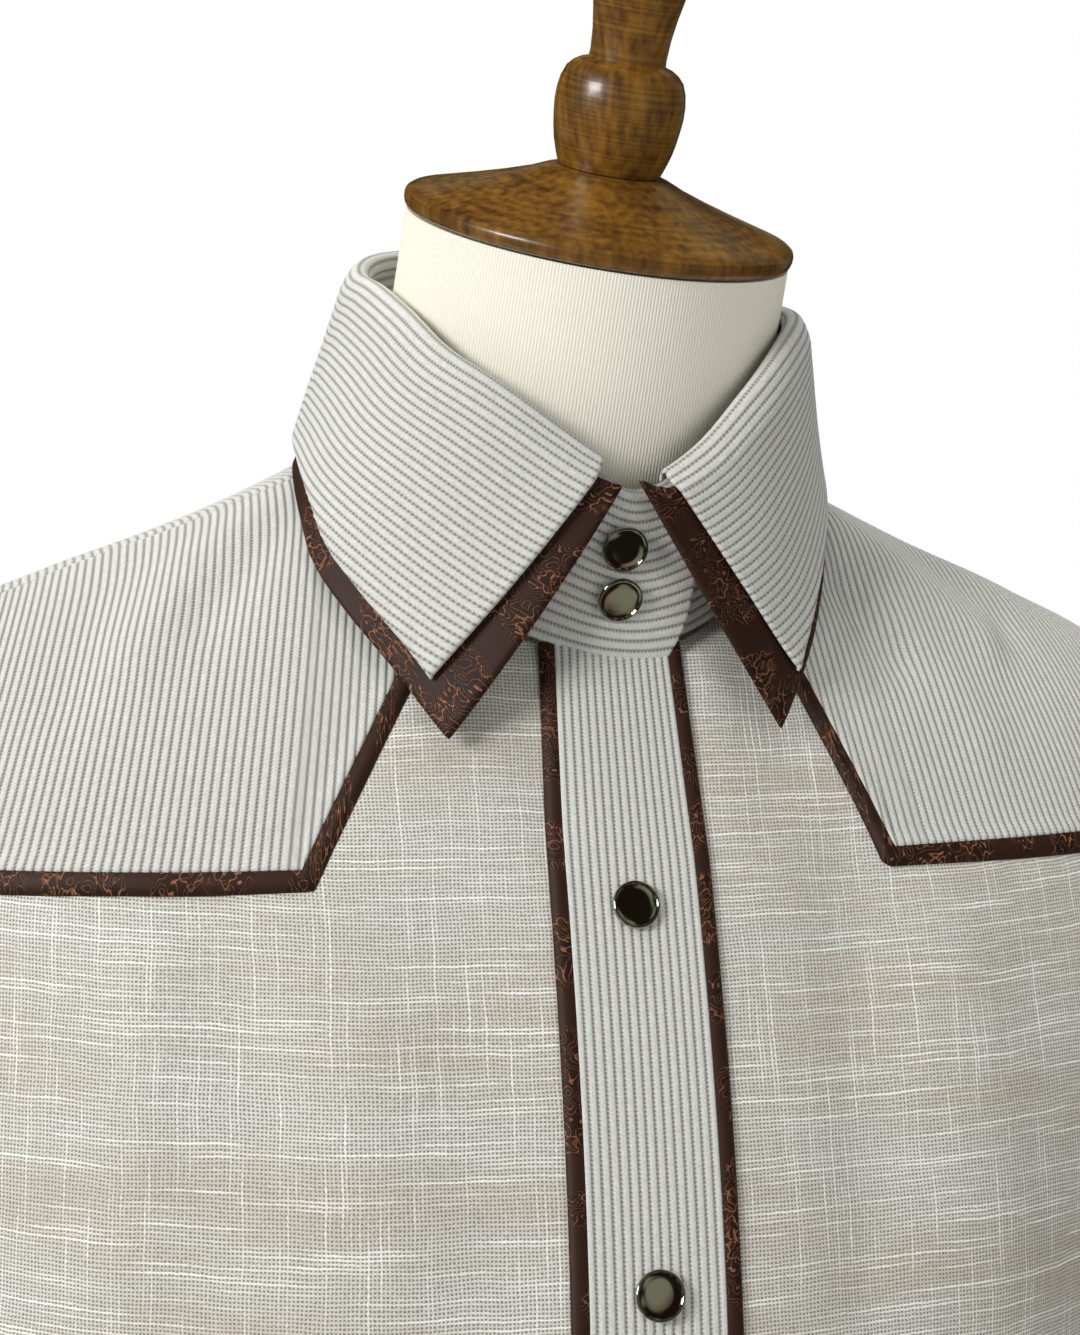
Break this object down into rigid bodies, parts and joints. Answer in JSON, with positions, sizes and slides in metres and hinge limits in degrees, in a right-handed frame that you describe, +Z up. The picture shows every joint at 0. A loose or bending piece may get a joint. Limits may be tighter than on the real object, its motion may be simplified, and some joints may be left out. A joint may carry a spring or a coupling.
{
  "type": "western snap shirt on a limbless dress form",
  "caption": "Linen western shirt with corduroy yokes, placket and pointed collar, brown brocade trim and snaps, on a limbless dress form",
  "frame": {"origin": "The centre of the underside of the form's round base, on the floor.", "axes": "+Z is up along the stand. The shirt's front faces -Y, so the wearer's right side is at -X and the left side at +X."},
  "size_m": [0.512, 0.36, 1.6011],
  "materials": {
    "linen": "off-white slub linen, plain weave",
    "corduroy": "pale grey-white corduroy",
    "brocade": "dark brown and copper jacquard satin",
    "nickel": "polished nickel plate",
    "jersey": "ivory ribbed jersey over a rigid form",
    "wood": "turned, amber-brown satin varnish",
    "steel": "black satin paint"
  },
  "bodies": {
    "root": {"front_right": "linen", "front_left": "linen", "back": "linen", "sleeve_right": "linen", "sleeve_left": "linen", "front_yoke_right": "corduroy", "front_yoke_left": "corduroy", "back_yoke": "corduroy", "cuff_right": "corduroy", "cuff_left": "corduroy", "placket": "corduroy", "collar_stand": "corduroy", "collar_leaf": "corduroy", "front_piping_right": "brocade", "front_piping_left": "brocade", "back_piping": "brocade", "placket_piping_right": "brocade", "placket_piping_left": "brocade", "under_collar": "brocade", "snap_stand_1": "nickel", "snap_stand_2": "nickel", "snap_1": "nickel", "snap_2": "nickel", "snap_3": "nickel", "snap_4": "nickel", "snap_5": "nickel", "snap_6": "nickel", "snap_cuff_right": "nickel", "snap_cuff_left": "nickel", "form_torso": "jersey", "neck_cap": "wood", "finial": "wood", "pole": "steel", "base": "steel"}
  },
  "joints": []
}
